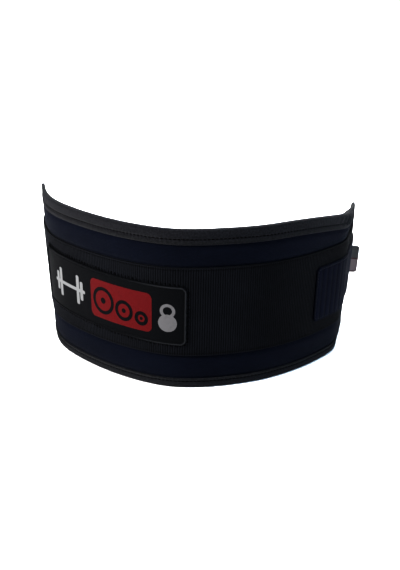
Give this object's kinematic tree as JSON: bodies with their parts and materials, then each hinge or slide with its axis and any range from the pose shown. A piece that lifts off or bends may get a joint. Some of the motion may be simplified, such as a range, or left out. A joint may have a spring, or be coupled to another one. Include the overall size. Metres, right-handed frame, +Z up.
{
  "type": "padded weightlifting belt",
  "caption": "Padded lifting belt bent round a waist, with bound edges, a wide webbing band, a flat badge and a strap that closes it at the back.",
  "frame": {"origin": "on the surface that the belt stands on, under the middle of its box", "axes": "+Z up, the front of the belt with its badge faces -Y, +X to the right as seen from the front"},
  "size_m": [0.3014, 0.2384, 0.1391],
  "materials": {
    "panel_cloth": "matte knitted face over foam",
    "binding_tape": "matte woven edge tape",
    "ribbed_webbing": "matte ribbed webbing",
    "badge": "satin printed face with a raised border",
    "strap_webbing": "matte hook and loop webbing",
    "label_ribbon": "woven ribbon, dark above and pale below"
  },
  "bodies": {
    "root": {"body_panel": "panel_cloth", "edge_binding": "binding_tape", "web_band": "ribbed_webbing", "badge_patch": "badge", "closing_strap": "strap_webbing", "side_label": "label_ribbon"}
  },
  "joints": []
}
